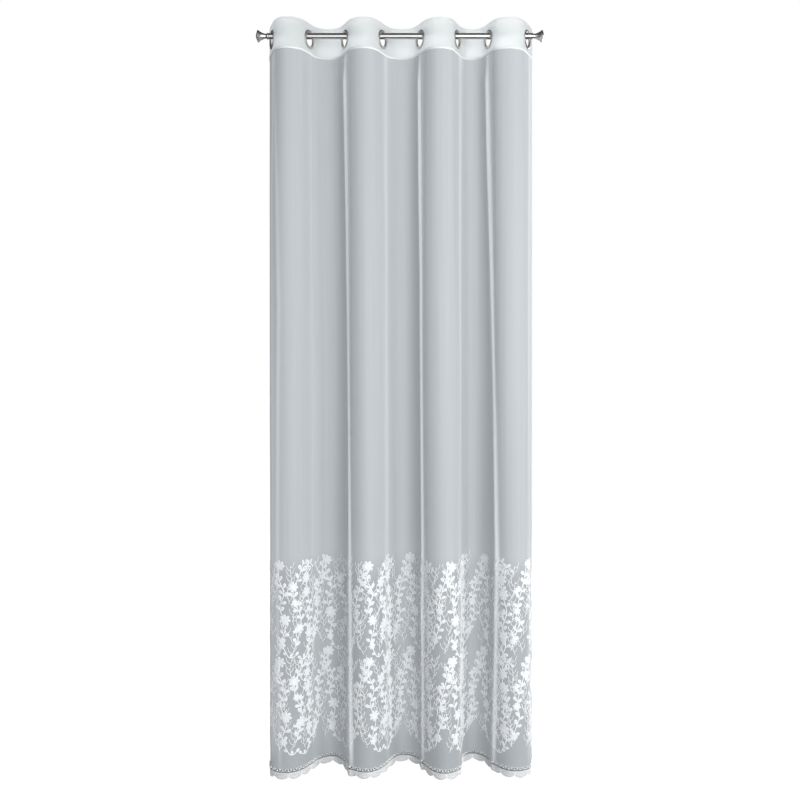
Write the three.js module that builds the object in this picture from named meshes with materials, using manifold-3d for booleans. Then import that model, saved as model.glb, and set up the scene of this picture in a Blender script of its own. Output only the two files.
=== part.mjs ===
import * as THREE from "three";
import { mergeVertices } from "three/addons/utils/BufferGeometryUtils.js";
import Module from "manifold-3d";

// A sheer voile curtain that hangs by eight eyelets from a round rod with two finials.
// Millimetres: X along the rod, -Y towards the room, +Z up, origin on the rod's axis at mid length.

// Driving dimensions
const GAP = 0.3; // between two pieces that touch

const ROD_DIAMETER = 20;
const ROD_LENGTH = 880;

const RING_OUTER_DIAMETER = 62;
const RING_INNER_DIAMETER = 44;
const RING_BARREL_WALL = 1.6;
const RING_RIM_HEIGHT = 2; // how far a ring's rounded rim stands off the cloth

const HEADING_ABOVE_ROD = 43; // from the rod's axis to the curtain's top edge
const HEADING_DEPTH = 104;
const HEADING_THICKNESS = 2.4; // two layers of voile and the stiff band between them

const CURTAIN_DROP = 2500; // top edge to the tips of the scallops
const VOILE_THICKNESS = 1.2;

const LACE_DEPTH = 37; // braid and scallops together
const LACE_THICKNESS = 1.6;
const SCALLOP_COUNT = 30;
const SCALLOP_DEPTH = 11;

// Finial sizes, as distances from the rod's end and diameters
const FINIAL_PROFILE = [
  { out: 0, diameter: 18 },
  { out: 1, diameter: 21 },
  { out: 4, diameter: 21 },
  { out: 6, diameter: 15.5 },
  { out: 12, diameter: 16.5 },
  { out: 19, diameter: 21.5 },
  { out: 26, diameter: 28 },
  { out: 33, diameter: 38 },
  { out: 34.5, diameter: 40 },
  { out: 36, diameter: 38 },
  { out: 38.5, diameter: 26 },
  { out: 41, diameter: 12 },
];
const FINIAL_LENGTH = 42;

// How the cloth runs in plan, from its left edge to its right edge. A row is one place on the
// cloth: an edge, an eyelet, or the crest of a fold. Each level gives x, depth behind the rod
// and heading, the cloth's direction in degrees from the rod's, positive away from the room.
const FOLDS = [
  { place: "edge", top: [-445, 64, -72], middle: [-438, 52, -86], hem: [-424, 36, -98] },
  { place: "eyelet", top: [-428, 2, -70], middle: [-432, -8, -78], hem: [-431, -14, -84] },
  { place: "crest", top: [-376, -62, 0], middle: [-374, -62, 0], hem: [-372, -62, 0] },
  { place: "eyelet", top: [-304, 0, 65], middle: [-301, 0, 62], hem: [-298, 0, 63] },
  { place: "crest", top: [-244, 54, 0], middle: [-236, 57, 0], hem: [-230, 58, 0] },
  { place: "eyelet", top: [-184, 0, -65], middle: [-170, 0, -78], hem: [-178, 0, -68] },
  { place: "crest", top: [-120, -60, 0], middle: [-115, -60, 0], hem: [-112, -59, 0] },
  { place: "eyelet", top: [-59, 0, 63], middle: [-52, 0, 62], hem: [-46, 0, 63] },
  { place: "crest", top: [4, 55, 0], middle: [9, 62, 0], hem: [14, 68, 0] },
  { place: "eyelet", top: [68, 0, -64], middle: [73, 0, -77], hem: [82, 0, -68] },
  { place: "crest", top: [128, -58, 0], middle: [134, -62, 0], hem: [147, -67, 0] },
  { place: "eyelet", top: [191, 0, 67], middle: [198, 0, 72], hem: [205, 2, 86] },
  { place: "crest", top: [243, 57, 0], middle: [246, 68, 0], hem: [248, 78, 0] },
  { place: "eyelet", top: [296, 0, -69], middle: [313, 0, -76], hem: [316, 0, -64] },
  { place: "crest", top: [360, -56, 0], middle: [371, -54, 0], hem: [382, -51, 0] },
  { place: "eyelet", top: [425, 0, 63], middle: [431, -2, 70], hem: [437, -4, 78] },
  { place: "edge", top: [451, 62, 69], middle: [450, 57, 82], hem: [446, 52, 94] },
];
const STRAIGHT_AT_EYELET = [33, 20, 10]; // half the straight stretch, at the top, middle and hem
const FOLD_ROUNDNESS = 0.35; // a curve's handles, as a share of the distance that it spans

// Fineness of the faceted solids
const ROUND_FACETS = 20;
const STEPS_PER_BEND = 5;
const VOILE_LEVELS = 11;
const STEPS_PER_SCALLOP = 6;

// Heights worked out from the driving dimensions
const headingTop = HEADING_ABOVE_ROD;
const headingBottom = headingTop - HEADING_DEPTH;
const curtainBottom = headingTop - CURTAIN_DROP;
const laceTop = curtainBottom + LACE_DEPTH;
const voileTop = headingBottom - GAP;
const voileBottom = laceTop + GAP;
const ringClearance = 0.4; // a ring stands askew on the rod, so its barrel's ends dip a little lower
const ringCentreZ =
  ROD_DIAMETER / 2 + ringClearance - (RING_INNER_DIAMETER / 2) * Math.cos(Math.PI / ROUND_FACETS);

const white = (hex, roughness) =>
  new THREE.MeshStandardMaterial({ color: hex, roughness, metalness: 0, side: THREE.DoubleSide });
const materials = {
  voile: () => white(0xc6cacd, 0.8),
  heading: () => white(0xe4e8e9, 0.7),
  lace: () => white(0xd9d9d8, 0.85),
  metal: () => new THREE.MeshStandardMaterial({ color: 0xb8b8b6, roughness: 0.22, metalness: 1 }),
};

const wasm = await Module();
wasm.setup();

// A place's values at a height: the heading's own shape down to its lower edge, and below it
// a smooth passage through the middle's values to the hem's.
function atHeight(z, top, middle, hem) {
  const down = THREE.MathUtils.clamp((headingBottom - z) / (headingBottom - curtainBottom), 0, 1);
  return top * (1 - down) * (1 - 2 * down) + middle * 4 * down * (1 - down) + hem * down * (2 * down - 1);
}

// The knots of the plan path at a height. An eyelet gives two, so that the cloth is flat between them.
function knotsAt(z) {
  const reach = atHeight(z, ...STRAIGHT_AT_EYELET);
  return FOLDS.flatMap(({ place, top, middle, hem }) => {
    const [x, depth, turn] = top.map((value, i) => atHeight(z, value, middle[i], hem[i]));
    const angle = THREE.MathUtils.degToRad(turn);
    const along = new THREE.Vector2(Math.cos(angle), Math.sin(angle));
    const centre = new THREE.Vector2(x, depth);
    const offsets = place === "eyelet" ? [-reach, reach] : [0];
    return offsets.map((offset) => ({ point: centre.clone().addScaledVector(along, offset), along }));
  });
}

// The plan path at a height: straight across each eyelet and a smooth bend on either side of it.
function pathAt(z) {
  const path = new THREE.CurvePath();
  const knots = knotsAt(z);
  knots.slice(1).forEach((end, i) => {
    const start = knots[i];
    if (start.along === end.along) {
      path.add(new THREE.LineCurve(start.point, end.point));
      return;
    }
    const handle = FOLD_ROUNDNESS * start.point.distanceTo(end.point);
    const leaving = start.point.clone().addScaledVector(start.along, handle);
    const arriving = end.point.clone().addScaledVector(end.along, -handle);
    path.add(new THREE.CubicBezierCurve(start.point, leaving, arriving, end.point));
  });
  return path;
}

// Stations along a path, each a point and a unit direction.
const station = (curve, t) => ({ point: curve.getPoint(t), along: curve.getTangent(t) });

function bendStations(path) {
  const stations = path.curves.flatMap((curve) => {
    const steps = curve.isLineCurve ? 2 : STEPS_PER_BEND;
    return Array.from({ length: steps }, (_, i) => station(curve, i / steps));
  });
  return [...stations, station(path.curves.at(-1), 1)];
}

function evenStations(path, steps) {
  return Array.from({ length: steps + 1 }, (_, i) => {
    const curve = { getPoint: (t) => path.getPointAt(t), getTangent: (t) => path.getTangentAt(t) };
    return station(curve, i / steps);
  });
}

// A closed sheet from rows of stations, top row first. heightOf(row, column) gives each point's height.
function hangingSheet(rows, heightOf, thickness) {
  const columns = rows[0].length;
  const positions = [];
  for (const side of [1, -1])
    rows.forEach((stations, r) =>
      stations.forEach(({ point, along }, c) => {
        const out = (side * thickness) / 2;
        positions.push(point.x + along.y * out, point.y - along.x * out, heightOf(r, c));
      }),
    );
  const back = rows.length * columns;
  const front = (r, c) => r * columns + c;
  const rear = (r, c) => back + front(r, c);
  const triangles = [];
  const quad = (a, b, c, d) => triangles.push(a, b, c, a, c, d);
  const lastRow = rows.length - 1;
  const lastColumn = columns - 1;
  for (let r = 0; r < lastRow; r++) {
    for (let c = 0; c < lastColumn; c++) {
      quad(front(r + 1, c), front(r + 1, c + 1), front(r, c + 1), front(r, c));
      quad(rear(r, c), rear(r, c + 1), rear(r + 1, c + 1), rear(r + 1, c));
    }
    quad(rear(r + 1, 0), front(r + 1, 0), front(r, 0), rear(r, 0));
    quad(front(r + 1, lastColumn), rear(r + 1, lastColumn), rear(r, lastColumn), front(r, lastColumn));
  }
  for (let c = 0; c < lastColumn; c++) {
    quad(front(0, c), front(0, c + 1), rear(0, c + 1), rear(0, c));
    quad(rear(lastRow, c), rear(lastRow, c + 1), front(lastRow, c + 1), front(lastRow, c));
  }
  const sheet = new THREE.BufferGeometry();
  sheet.setAttribute("position", new THREE.Float32BufferAttribute(positions, 3));
  sheet.setIndex(triangles);
  return sheet;
}

function solidOf(geometry) {
  const bare = geometry.clone();
  bare.deleteAttribute("normal");
  bare.deleteAttribute("uv");
  const merged = mergeVertices(bare, 1e-4);
  const vertProperties = merged.attributes.position.array;
  const triVerts = new Uint32Array(merged.index.array);
  return new wasm.Manifold(new wasm.Mesh({ numProp: 3, vertProperties, triVerts }));
}

function geometryOf(solid) {
  const mesh = solid.getMesh();
  const geometry = new THREE.BufferGeometry();
  geometry.setAttribute("position", new THREE.BufferAttribute(mesh.vertProperties, 3));
  geometry.setIndex(new THREE.BufferAttribute(mesh.triVerts, 1));
  return geometry;
}

function named(name, geometry, material) {
  geometry.computeVertexNormals();
  const mesh = new THREE.Mesh(geometry, material);
  mesh.name = name;
  return mesh;
}

// The rod lies along X.
function makeRod() {
  const rod = new THREE.CylinderGeometry(ROD_DIAMETER / 2, ROD_DIAMETER / 2, ROD_LENGTH, ROUND_FACETS);
  rod.rotateZ(Math.PI / 2);
  return named("rod", rod, materials.metal());
}

// A trumpet with a bead at its root and a shallow dome over its mouth.
function makeFinial(name, side) {
  const points = FINIAL_PROFILE.map(({ out, diameter }) => new THREE.Vector2(diameter / 2, out));
  const profile = [new THREE.Vector2(0, 0), ...points, new THREE.Vector2(0, FINIAL_LENGTH)];
  const finial = named(name, new THREE.LatheGeometry(profile, ROUND_FACETS), materials.metal());
  finial.rotation.z = (-side * Math.PI) / 2;
  finial.position.x = side * (ROD_LENGTH / 2 + GAP);
  return finial;
}

// The eyelets of the fold table, each with its place and the cloth's direction at the heading.
const eyelets = FOLDS.filter(({ place }) => place === "eyelet").map(({ top: [x, depth, turn] }, i) => ({
  name: `eyelet_${i + 1}`,
  position: new THREE.Vector3(x, depth, ringCentreZ),
  angle: THREE.MathUtils.degToRad(turn),
}));

// A ring clamps the heading between two rounded rims that a short barrel joins.
function makeRing({ name, position, angle }) {
  const bore = RING_INNER_DIAMETER / 2;
  const outer = RING_OUTER_DIAMETER / 2;
  const barrel = bore + RING_BARREL_WALL;
  const seat = HEADING_THICKNESS / 2 + GAP;
  const crown = seat + RING_RIM_HEIGHT;
  const half = [
    [barrel, seat],
    [outer, seat],
    [outer - 1.5, crown - 0.5],
    [bore + 2.5, crown],
    [bore, seat + 0.7],
  ];
  const mirrored = half.map(([radius, off]) => [radius, -off]).reverse();
  const loop = [...half, ...mirrored, half[0]].map(([radius, off]) => new THREE.Vector2(radius, off));
  const ring = named(name, new THREE.LatheGeometry(loop, ROUND_FACETS), materials.metal());
  ring.position.copy(position);
  ring.rotation.z = angle;
  return ring;
}

// The stiff band along the curtain's top, with a round hole for each ring's barrel.
function makeHeading() {
  const stations = bendStations(pathAt(headingTop));
  const heights = [headingTop, headingBottom];
  let band = solidOf(hangingSheet([stations, stations], (row) => heights[row], HEADING_THICKNESS));
  const barrel = RING_INNER_DIAMETER / 2 + RING_BARREL_WALL;
  const holeRadius = (barrel + GAP) / Math.cos(Math.PI / ROUND_FACETS);
  for (const { position, angle } of eyelets) {
    const drill = new THREE.CylinderGeometry(holeRadius, holeRadius, 4 * HEADING_THICKNESS, ROUND_FACETS);
    drill.rotateZ(angle).translate(position.x, position.y, position.z);
    band = band.subtract(solidOf(drill));
  }
  return named("heading", geometryOf(band), materials.heading());
}

// The voile panel, from the heading down to the lace.
function makeVoile() {
  const heights = Array.from({ length: VOILE_LEVELS }, (_, i) =>
    THREE.MathUtils.lerp(voileTop, voileBottom, i / (VOILE_LEVELS - 1)),
  );
  const rows = heights.map((z) => bendStations(pathAt(z)));
  return named("voile", hangingSheet(rows, (row) => heights[row], VOILE_THICKNESS), materials.voile());
}

// The lace edging: a straight braid along its top and a row of round scallops below.
function makeLace() {
  const steps = SCALLOP_COUNT * STEPS_PER_SCALLOP;
  const braidBottom = curtainBottom + SCALLOP_DEPTH;
  const scallopAt = (column) => {
    const across = (column % STEPS_PER_SCALLOP) / STEPS_PER_SCALLOP;
    return braidBottom - SCALLOP_DEPTH * Math.sqrt(Math.sin(Math.PI * across));
  };
  const rows = [laceTop, braidBottom].map((z) => evenStations(pathAt(z), steps));
  const lace = hangingSheet(rows, (row, column) => (row === 0 ? laceTop : scallopAt(column)), LACE_THICKNESS);
  return named("lace_edging", lace, materials.lace());
}

const curtain = new THREE.Group();
curtain.add(
  makeRod(),
  makeFinial("finial_left", -1),
  makeFinial("finial_right", 1),
  ...eyelets.map(makeRing),
  makeHeading(),
  makeVoile(),
  makeLace(),
);

export default curtain;
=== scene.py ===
import math
import random
from contextlib import contextmanager

import bmesh
import bpy
import numpy as np
from mathutils import Matrix, Vector


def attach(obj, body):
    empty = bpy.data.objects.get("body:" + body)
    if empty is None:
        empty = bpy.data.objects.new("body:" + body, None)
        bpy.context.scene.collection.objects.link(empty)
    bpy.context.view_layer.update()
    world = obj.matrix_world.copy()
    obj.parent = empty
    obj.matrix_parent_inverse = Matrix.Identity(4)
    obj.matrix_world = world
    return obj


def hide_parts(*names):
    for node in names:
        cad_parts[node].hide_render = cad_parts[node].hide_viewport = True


# A sheer voile curtain that hangs by eight eyelets from a round rod with two finials.
# Metres. The cloth is drawn flat first, with x across it, -y off its room side and z up,
# and is then hung in its folds.
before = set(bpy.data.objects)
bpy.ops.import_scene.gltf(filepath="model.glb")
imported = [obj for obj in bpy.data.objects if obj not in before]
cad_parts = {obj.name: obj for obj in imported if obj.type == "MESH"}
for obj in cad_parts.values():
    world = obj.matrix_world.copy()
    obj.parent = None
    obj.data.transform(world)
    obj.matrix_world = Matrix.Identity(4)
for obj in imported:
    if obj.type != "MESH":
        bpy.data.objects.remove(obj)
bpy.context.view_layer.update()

MM = 0.001

# Sizes of the cloth, in millimetres
FLAT_WIDTH = 1400
HEADING_TOP = 43
HEADING_DEPTH = 104
HEADING_THICKNESS = 2.0
FOLDED_EDGE_DEPTH = 7
CURTAIN_DROP = 2500
LACE_DEPTH = 37
BRAID_DEPTH = 14
SCALLOP_COUNT = 30
SCALLOP_DEPTH = 11
SIDE_HEM = 22
STITCH_PITCH = 4.2
PLAIT_PITCH = 17.5

HEADING_BOTTOM = HEADING_TOP - HEADING_DEPTH
CURTAIN_BOTTOM = HEADING_TOP - CURTAIN_DROP
LACE_TOP = CURTAIN_BOTTOM + LACE_DEPTH
BRAID_BOTTOM = LACE_TOP - BRAID_DEPTH
VOILE_BOTTOM = BRAID_BOTTOM + 2
TAPE_TOP = LACE_TOP - 3
TAPE_BOTTOM = BRAID_BOTTOM - 1.2
PLAIT_HEIGHT = (LACE_TOP + BRAID_BOTTOM) / 2 + 1.4
SCALLOP_PITCH = FLAT_WIDTH / SCALLOP_COUNT

# How far the lace's cords end inside the cloth's side edges
CORD_INSET = 0.5

# Sizes of the rod, its finials and the eyelets, in millimetres
ROD_DIAMETER = 20
ROD_LENGTH = 880
RING_OUTER_DIAMETER = 62
RING_INNER_DIAMETER = 44
RING_RIM_HEIGHT = 3.2
RING_CENTRE_Z = -11.33

# The folds in plan, as in the solids: x, depth behind the rod, and the cloth's direction in
# degrees from the rod's, at the top, at the middle and at the hem.
FOLDS = [
    ("edge", (-445, 64, -72), (-438, 52, -86), (-424, 36, -98)),
    ("eyelet", (-428, 2, -70), (-432, -8, -78), (-431, -14, -84)),
    ("crest", (-376, -62, 0), (-374, -62, 0), (-372, -62, 0)),
    ("eyelet", (-304, 0, 65), (-301, 0, 62), (-298, 0, 63)),
    ("crest", (-244, 54, 0), (-236, 57, 0), (-230, 58, 0)),
    ("eyelet", (-184, 0, -65), (-170, 0, -78), (-178, 0, -68)),
    ("crest", (-120, -60, 0), (-115, -60, 0), (-112, -59, 0)),
    ("eyelet", (-59, 0, 63), (-52, 0, 62), (-46, 0, 63)),
    ("crest", (4, 55, 0), (9, 62, 0), (14, 68, 0)),
    ("eyelet", (68, 0, -64), (73, 0, -77), (82, 0, -68)),
    ("crest", (128, -58, 0), (134, -62, 0), (147, -67, 0)),
    ("eyelet", (191, 0, 67), (198, 0, 72), (205, 2, 86)),
    ("crest", (243, 57, 0), (246, 68, 0), (248, 78, 0)),
    ("eyelet", (296, 0, -69), (313, 0, -76), (316, 0, -64)),
    ("crest", (360, -56, 0), (371, -54, 0), (382, -51, 0)),
    ("eyelet", (425, 0, 63), (431, -2, 70), (437, -4, 78)),
    ("edge", (451, 62, 69), (450, 57, 82), (446, 52, 94)),
]
STRAIGHT_AT_EYELET = (33, 20, 10)
FOLD_ROUNDNESS = 0.35
STEPS_A_BEND = 16
# The hung cloth is worked out in rows this far down from each other, in columns of 1 mm
ROW_STEP = 10

# Soft creases: from (across, height) to (across, height), half width, and lift towards the
# room. A negative lift is a trough.
CREASES = [
    ((60, -300), (70, -1500), 30, 2.5),
    ((250, -100), (262, -900), 26, -2.5),
    ((420, -80), (412, -2300), 7, 2.2),
    ((452, -80), (440, -2300), 12, -1.8),
    ((600, -400), (618, -1700), 34, 2.5),
    ((792, -80), (790, -2300), 7, 2.2),
    ((820, -80), (815, -2300), 12, -1.8),
    ((980, -700), (970, -2200), 30, 2.5),
    ((1140, -80), (1150, -2300), 7, 2.2),
    ((1172, -80), (1180, -2300), 12, -1.8),
    ((1290, -300), (1275, -1400), 34, -2.5),
]

# Pressed pleats and the faint lines beside the side hems: (height, across) down each, then its lift,
# its width to the left and to the right, and how much whiter the cloth is drawn beside it, partly as
# doubled cloth and partly as painted highlight.
PLEATS = [
    (((-61, 430), (-700, 434), (-1500, 443), (-2460, 444)), 8.0, 20, 7.0, 1.0),
    (((-61, 790), (-800, 800), (-1700, 798), (-2460, 776)), 6.5, 16, 6, 1.0),
    (((-61, 1134), (-400, 1146), (-1300, 1184), (-1750, 1195), (-2460, 1175)), 8.0, 18, 8.5, 1.0),
    (((-61, 262), (-1300, 255), (-1900, 247), (-2460, 245)), 1.2, 9, 5, 0.12),
    (((-61, 96), (-500, 114), (-900, 120), (-1760, 107), (-2460, 108)), 1.0, 12, 7, 0.4),
    # This row and the one at 1378 lift nothing: they whiten the cloth beside the side hems, painted highlight
    # on flanks that turn from the light
    (((-61, 70), (-900, 76), (-2460, 72)), 0.0, 9, 16, 1.0),
    (((-61, 1349), (-900, 1334), (-1760, 1316), (-2460, 1312)), 1.4, 10, 12, 0.45),
    (((-61, 1378), (-2460, 1375)), 0.0, 10, 22, 0.5),
    (((-61, 630), (-900, 613), (-2460, 592)), 2.0, 16, 14, 0.35),
    (((-61, 1004), (-900, 981), (-2460, 945)), 2.5, 16, 14, 0.55),
    # The next three rows lift nothing: they whiten the fold troughs, painted light that lifts them out of
    # their shade
    (((-61, 281), (-2460, 260)), 0.0, 10, 45, 0.2),
    (((-61, 672), (-2460, 650)), 0.0, 10, 45, 0.2),
    (((-61, 1031), (-2460, 1036)), 0.0, 10, 45, 0.2),
]
# Where the sharp pleats lie across the voile, so that its grid is finer there
PLEATED_STRIPS = [(400, 455), (752, 822), (1115, 1215)]

# Beside the top of each sharp pleat the cloth is drawn pale, partly as doubled cloth and partly as painted
# highlight: across, reach
PALE_TOPS = [(448, 16), (808, 13), (1156, 20)]
PALE_SHARE = 0.38
PALE_HEIGHTS = (-400, -1050)

# The embroidered border: two tiers of sprigs
SPRIG_FEET = (-2374, -2064)
SPRIGS_ACROSS = 28
# The voile is drawn greyer across the embroidered band, from none at the second height to all at the first
GREYER_BAND_HEIGHTS = (-1800, -1730)

# The sprigs, one row a kind. The stem is given as its sideways place and its height in
# millimetres, then the heights of its large flowers, its small flowers and its side twigs, how its
# tip ends, and which way its foot hooks.
SPRIG_KINDS = [
    {
        "stem": [(-9, 0), (7, 41), (-5, 93), (10, 150), (-3, 203), (-9, 250), (-4, 287)],
        "flowers": (71, 208, 255),
        "small_flowers": (),
        "twigs": (120,),
        "tip": "curl",
        "foot": 1,
    },
    {
        "stem": [(-25, 23), (-12, 71), (3, 118), (-4, 162), (9, 217), (24, 266), (28, 296)],
        "flowers": (),
        "small_flowers": (53, 152),
        "twigs": (193,),
        "tip": "leaf",
        "foot": 0,
    },
    {
        "stem": [(14, 9), (-2, 51), (11, 105), (-8, 160), (6, 209), (-12, 260), (-8, 300)],
        "flowers": (122, 300),
        "small_flowers": (39,),
        "twigs": (230,),
        "tip": "flower",
        "foot": -1,
    },
    {
        "stem": [(-8, 34), (10, 85), (16, 134), (-6, 185), (-10, 230), (12, 272), (22, 296)],
        "flowers": (98, 236),
        "small_flowers": (183,),
        "twigs": (65, 152),
        "tip": "curl",
        "foot": 0,
    },
]

# How white the stitches are drawn from the back of a motif inwards: its back, its rim, its ring, its slit.
# The greyer rim and slit are painted shade in the padding's grooves.
PADDING_SHADE_SHARES = (0.9, 0.0, 1.0, 0.4)

# A finial's profile: distance from the rod's end, radius, and whether the corner is sharp
FINIAL_PROFILE = [
    (0, 0, True),
    (0, 9.4, True),
    (0.7, 10.3, False),
    (2.5, 10.6, False),
    (4.4, 10.2, False),
    (5.4, 8.2, True),
    (7.0, 7.8, False),
    (12, 8.3, False),
    (19, 10.7, False),
    (26, 14.0, False),
    (31, 17.6, False),
    (33.4, 19.6, False),
    (34.4, 20.0, False),
    (35.4, 19.4, True),
    (37.2, 15.5, False),
    (39.4, 9.5, False),
    (41.2, 4.2, False),
    (42, 0, True),
]


# Lines

def steps(start, end, count):
    return [start + (end - start) * i / count for i in range(count + 1)]


def smooth_line(knots, fineness, corners=()):
    """A smooth line through pairs of numbers, as a Catmull-Rom curve that breaks at its corners."""
    last = len(knots) - 1
    line = []
    for i in range(last):
        before = i if i in corners else max(i - 1, 0)
        after = i + 1 if i + 1 in corners else min(i + 2, last)
        p0, p1, p2, p3 = (Vector(knots[k]) for k in (before, i, i + 1, after))
        for t in steps(0, 1, fineness)[:-1]:
            curve = (p2 - p0) * t + (2 * p0 - 5 * p1 + 4 * p2 - p3) * t**2
            line.append(tuple(p1 + 0.5 * (curve + (3 * p1 - p0 - 3 * p2 + p3) * t**3)))
    return line + [tuple(knots[-1])]


# The folds

def plan_at(heights):
    """The cloth's plan path at each of these heights: an array of heights by points by (x, depth)."""
    down = np.clip((HEADING_BOTTOM - heights) / (HEADING_BOTTOM - CURTAIN_BOTTOM), 0, 1)
    # a parabola through the top, the middle and the hem
    weights = np.stack([(1 - down) * (1 - 2 * down), 4 * down * (1 - down), down * (2 * down - 1)], axis=1)
    reach = (weights @ np.array(STRAIGHT_AT_EYELET, float))[:, None]
    knots = []
    for place, *levels in FOLDS:
        x, depth, turn = (weights @ np.array(levels, float)).T
        along = np.stack([np.cos(np.radians(turn)), np.sin(np.radians(turn))], axis=1)
        centre = np.stack([x, depth], axis=1)
        for side in (-1, 1) if place == "eyelet" else (0,):
            knots.append((centre + side * reach * along, along))
    t = np.linspace(0, 1, STEPS_A_BEND + 1)[None, 1:, None]
    route = [knots[0][0][:, None, :]]
    for (start, leaving), (end, arriving) in zip(knots[:-1], knots[1:]):
        handle = FOLD_ROUNDNESS * np.linalg.norm(end - start, axis=1, keepdims=True)
        corners = (start, start + leaving * handle, end - arriving * handle, end)
        a, b, c, d = (corner[:, None, :] for corner in corners)
        route.append((1 - t) ** 3 * a + 3 * (1 - t) ** 2 * t * b + 3 * (1 - t) * t * t * c + t**3 * d)
    return np.concatenate(route, axis=1)


def soften(route, reach):
    """Rounds a route a little, where the heading's free upper edge isn't held flat by the eyelets."""
    weights = np.exp(-((np.arange(-3 * reach, 3 * reach + 1) / reach) ** 2) / 2)
    for k in (0, 1):
        slope = np.linspace(route[0, k], route[-1, k], len(route))
        bent = np.pad(route[:, k] - slope, 3 * reach, "reflect", reflect_type="odd")
        route[:, k] = slope + np.convolve(bent, weights / weights.sum(), "valid")


def hung_grid():
    """Where a grid of the flat cloth hangs, and which way its room side faces there."""
    free_rows = 3
    softening = 15
    heights = np.linspace(HEADING_TOP, CURTAIN_BOTTOM, CURTAIN_DROP // ROW_STEP + 1)
    shares = np.linspace(0, 1, FLAT_WIDTH + 1)
    places = []
    for route in plan_at(heights):
        length = np.concatenate([[0], np.cumsum(np.linalg.norm(np.diff(route, axis=0), axis=1))])
        places.append([np.interp(shares * length[-1], length, route[:, k]) for k in (0, 1)])
    places = np.array(places).transpose(0, 2, 1)
    for row in places[:free_rows]:
        soften(row, softening)
    along = np.gradient(places, axis=1)
    along /= np.linalg.norm(along, axis=2, keepdims=True)
    return places, np.stack([along[..., 1], -along[..., 0]], axis=2)


PLACES, FACING = hung_grid()


def past_pleat(row, across, height):
    """How far across the cloth each point lies past a pleat, in millimetres."""
    knot_heights, knots = zip(*row)
    return across - np.interp(-height, -np.array(knot_heights, float), knots)


def crease_lift(across, height):
    """How far the creases and pleats lift each point of the cloth towards the room, in millimetres."""
    crease_ends = 1 / 6
    pleat_start = 90
    flat = np.stack([across, height], axis=1)
    total = np.zeros(len(flat))
    for start, end, width, lift in CREASES:
        start, end = np.array(start, float), np.array(end, float)
        run = end - start
        share = np.clip(((flat - start) @ run) / (run @ run), 0, 1)
        distance = np.linalg.norm(flat - start - share[:, None] * run, axis=1)
        fade = np.minimum(1, np.minimum(share, 1 - share) / crease_ends)
        total += lift * fade * np.exp(-((distance / width) ** 2))
    for row, lift, left, right, _ in PLEATS:
        beside = past_pleat(row, across, height)
        width = np.where(beside < 0, left, right)
        fade = np.clip((HEADING_BOTTOM - height) / pleat_start, 0, 1)
        total += lift * fade * np.exp(-((beside / width) ** 2))
    return total


def hang(flat):
    """The hung places of points of the flat cloth, all in metres."""
    inside = 0.001
    across, off, height = (flat / MM).T
    column = np.clip(across, 0, FLAT_WIDTH - inside)
    row = np.clip((HEADING_TOP - height) / ROW_STEP, 0, len(PLACES) - 1 - inside)
    c, r = column.astype(int), row.astype(int)
    u, v = (column - c)[:, None], (row - r)[:, None]

    def between(grid):
        upper = grid[r, c] * (1 - u) + grid[r, c + 1] * u
        lower = grid[r + 1, c] * (1 - u) + grid[r + 1, c + 1] * u
        return upper * (1 - v) + lower * v

    lift = (crease_lift(across, height) - off)[:, None]
    plan = between(PLACES) + between(FACING) * lift
    return np.column_stack([plan, height]) * MM


def eyelet_places():
    """Each eyelet's x, depth and turn, and how far across the flat cloth it is, in millimetres."""
    top = PLACES[0]
    for place, (x, depth, turn), *_ in FOLDS:
        if place == "eyelet":
            across = int(np.argmin(np.linalg.norm(top - (x, depth), axis=1)))
            yield x, depth, turn, across


EYELETS = list(eyelet_places())


# Meshes

def points_of(mesh):
    points = np.empty(len(mesh.vertices) * 3)
    mesh.vertices.foreach_get("co", points)
    return points.reshape(-1, 3)


def add_values(mesh, name, values):
    """A number for each point of a mesh, which a material or a node tree reads by its name."""
    mesh.attributes.new(name, "FLOAT", "POINT").data.foreach_set("value", values)


def add_cloth_map(mesh, flat):
    """A UV map of the flat cloth in metres, so that a weave follows the folds."""
    corners = np.empty(len(mesh.loops), int)
    mesh.loops.foreach_get("vertex_index", corners)
    layer = mesh.uv_layers.new(name="cloth")
    layer.uv.foreach_set("vector", flat[corners][:, [0, 2]].astype(np.float32).ravel())


def make_mesh(name, points, faces, smooth=True):
    mesh = bpy.data.meshes.new(name)
    mesh.from_pydata([tuple(point) for point in points], [], faces)
    mesh.polygons.foreach_set("use_smooth", [smooth] * len(mesh.polygons))
    mesh.update()
    return mesh


@contextmanager
def edited(mesh):
    """Opens a mesh for edits of its faces and edges, and writes them back at the end."""
    shape = bmesh.new()
    shape.from_mesh(mesh)
    yield shape
    shape.to_mesh(mesh)
    shape.free()


def add_object(name, data):
    thing = bpy.data.objects.new(name, data)
    bpy.context.scene.collection.objects.link(thing)
    return thing


def add_piece(name, mesh, material=None):
    mesh.name = name
    piece = add_object(name, mesh)
    if material:
        mesh.materials.clear()
        mesh.materials.append(material)
    return piece


def hang_piece(name, mesh, material=None):
    """Makes a piece of a mesh drawn on the flat cloth, moved to where it hangs."""
    flat = points_of(mesh)
    while mesh.uv_layers:
        mesh.uv_layers.remove(mesh.uv_layers[0])
    add_cloth_map(mesh, flat)
    mesh.vertices.foreach_set("co", hang(flat).ravel())
    mesh.update()
    return add_piece(name, mesh, material)


def flat_grid(columns, rows):
    """An open grid in the plane of the flat cloth, from lists of x and z in millimetres.
    A row's z can also be given as a function of x."""
    points = [(x * MM, 0, (z(x) if callable(z) else z) * MM) for z in rows for x in columns]
    wide = len(columns)
    faces = []
    for r in range(len(rows) - 1):
        for c in range(wide - 1):
            a = r * wide + c
            faces.append((a, a + wide, a + wide + 1, a + 1))
    return make_mesh("flat", points, faces)


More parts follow.
